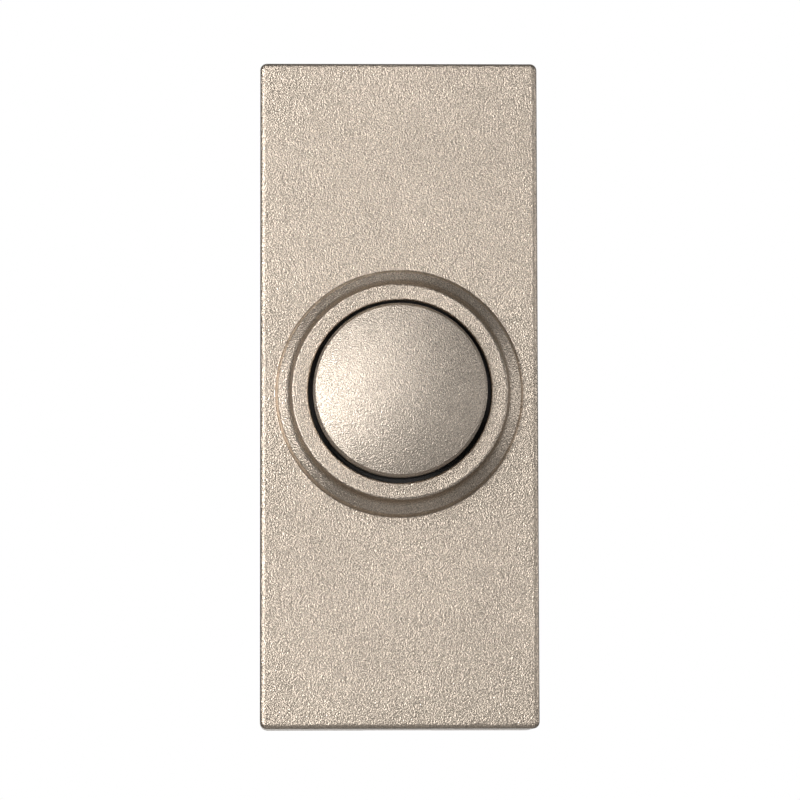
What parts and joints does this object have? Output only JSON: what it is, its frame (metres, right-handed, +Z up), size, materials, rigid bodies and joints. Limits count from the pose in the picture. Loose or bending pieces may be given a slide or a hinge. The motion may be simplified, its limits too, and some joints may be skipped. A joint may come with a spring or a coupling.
{
  "type": "doorbell push button",
  "caption": "Wall-mounted wired doorbell push: upright rectangular satin metal-coated cover with a raised round collar and a domed round button that presses in to close a contact.",
  "frame": {"origin": "on the wall, at the middle of the base's rear face, behind the middle of the button", "axes": "+Z up as it hangs by the door, +Y into the wall, so the button faces -Y; +X to the right seen from the front"},
  "size_m": [0.032, 0.0221, 0.0764],
  "materials": {
    "satin_nickel_cover": "satin nickel metallic coat on moulded plastic with a fine grain",
    "satin_nickel_button": "satin nickel metallic coat, slightly smoother than the cover",
    "keeper_plastic": "grey moulded plastic, fine spark texture",
    "base_plastic": "black moulded plastic, fine spark texture",
    "plunger_plastic": "natural acetal, smooth",
    "contact_brass": "rolled brass strip, slightly tarnished",
    "leaf_bronze": "rolled phosphor bronze",
    "terminal_brass": "turned brass",
    "contact_silver": "silver contact alloy, satin",
    "zinc_steel": "bright zinc-plated steel",
    "spring_steel": "drawn stainless spring wire"
  },
  "bodies": {
    "base": {"wall_base": "base_plastic", "fixed_contact_strip": "contact_brass", "fixed_contact_tip": "contact_silver", "moving_contact_leaf": "leaf_bronze", "moving_contact_tip": "contact_silver", "leaf_rivet": "contact_brass", "strip_rivet": "contact_brass", "terminal_nut_upper": "terminal_brass", "terminal_nut_lower": "terminal_brass", "wire_clamp_upper": "zinc_steel", "wire_clamp_lower": "zinc_steel", "terminal_screw_upper": "terminal_brass", "terminal_screw_lower": "terminal_brass"},
    "cover": {"front_cover": "satin_nickel_cover", "button_keeper": "keeper_plastic", "keeper_screw_upper": "zinc_steel", "keeper_screw_lower": "zinc_steel", "return_spring": "spring_steel"},
    "button": {"push_button": "satin_nickel_button", "plunger": "plunger_plastic"}
  },
  "joints": [
    {"name": "cover_pull", "type": "slide", "parent": "base", "child": "cover", "axis": [0, -1, 0], "range_m": [0, 0.03]},
    {"name": "button_press", "type": "slide", "parent": "cover", "child": "button", "axis": [0, 1, 0], "range_m": [0, 0.0015], "stiffness_N_per_m": 400, "springref_m": -0.0015, "deforming": ["return_spring", "moving_contact_leaf", "moving_contact_tip"]}
  ]
}
